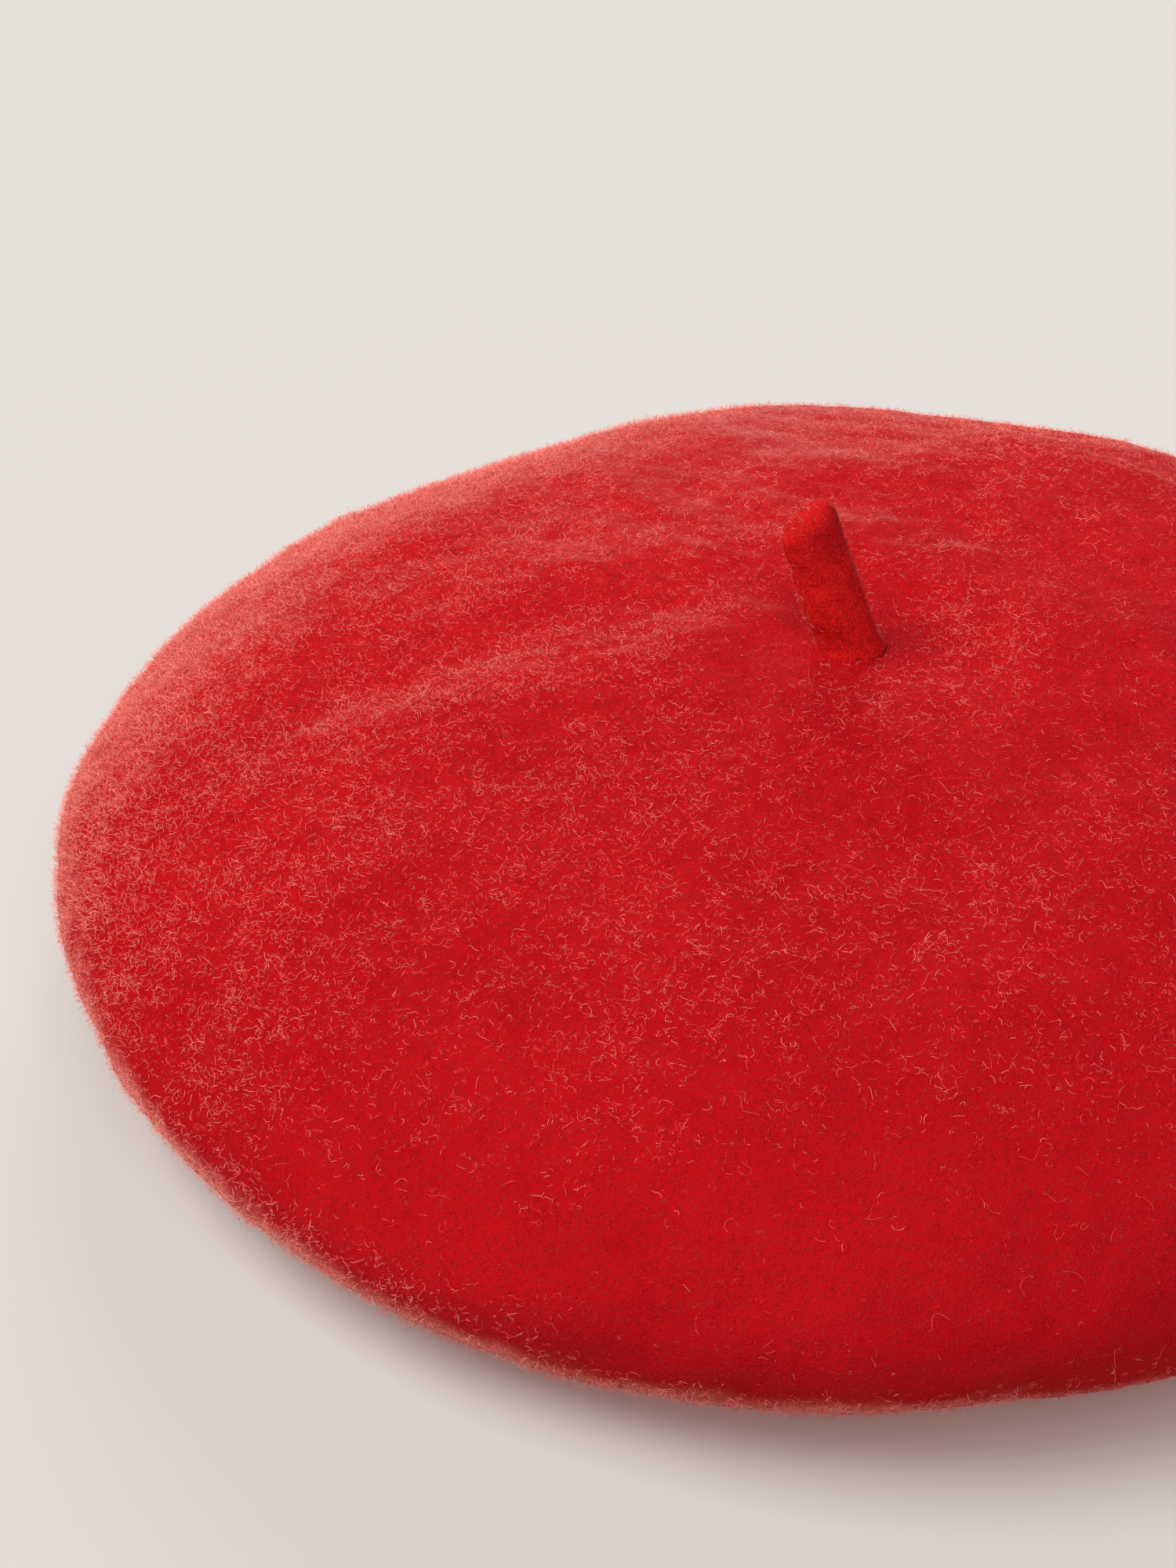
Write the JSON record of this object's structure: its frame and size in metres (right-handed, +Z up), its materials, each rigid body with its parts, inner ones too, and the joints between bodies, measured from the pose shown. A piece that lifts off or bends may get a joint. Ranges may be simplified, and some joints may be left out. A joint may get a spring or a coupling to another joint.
{
  "type": "felt beret",
  "caption": "Soft round felt beret with a short leaning stalk, a sprung sweatband inside its opening, a satin lining and hanging labels.",
  "frame": {"origin": "on the surface the hat lies on, under the middle of its crown", "axes": "+Z up through the crown, -Y to the front of the hat, +Y to the sweatband's joint at the back, -X to the side the stalk leans to"},
  "size_m": [0.275, 0.275, 0.0811],
  "materials": {
    "felt": "fuzzy wool felt",
    "thread": "twisted sewing thread",
    "leatherette": "semi-matt, fine grain",
    "elastic": "braided, matt",
    "grosgrain": "ribbed tape, matt",
    "satin": "soft satin",
    "woven_label": "blank woven satin"
  },
  "bodies": {
    "hat": {"felt_body": "felt", "stalk_root_knot": "thread", "stalk_tack_thread": "thread", "sweatband": "leatherette", "sweatband_elastic": "elastic", "sweatband_joint_tab": "leatherette", "opening_stay_tape": "grosgrain", "opening_seam_thread": "thread", "lining_crown": "satin", "lining_side": "satin", "lining_seam_thread": "thread", "maker_label": "woven_label", "maker_label_stitching": "thread"},
    "stalk": {"stalk": "felt"},
    "care_label": {"care_label": "woven_label"},
    "size_tab": {"size_tab": "woven_label"}
  },
  "joints": [
    {"name": "stalk_lean", "type": "hinge", "parent": "hat", "child": "stalk", "pos_m": [-0.0033, 0, 0.05865], "axis": [0, -1, 0], "range_deg": [-69, 31], "stiffness_Nm_per_rad": 0.003},
    {"name": "care_label_swing", "type": "hinge", "parent": "hat", "child": "care_label", "pos_m": [0, 0.1096, 0.0357], "axis": [-1, 0, 0], "range_deg": [-12, 36]},
    {"name": "size_tab_flip", "type": "hinge", "parent": "hat", "child": "size_tab", "pos_m": [0.08825, 0, 0.0206], "axis": [0, 1, 0], "range_deg": [0, 150]}
  ]
}
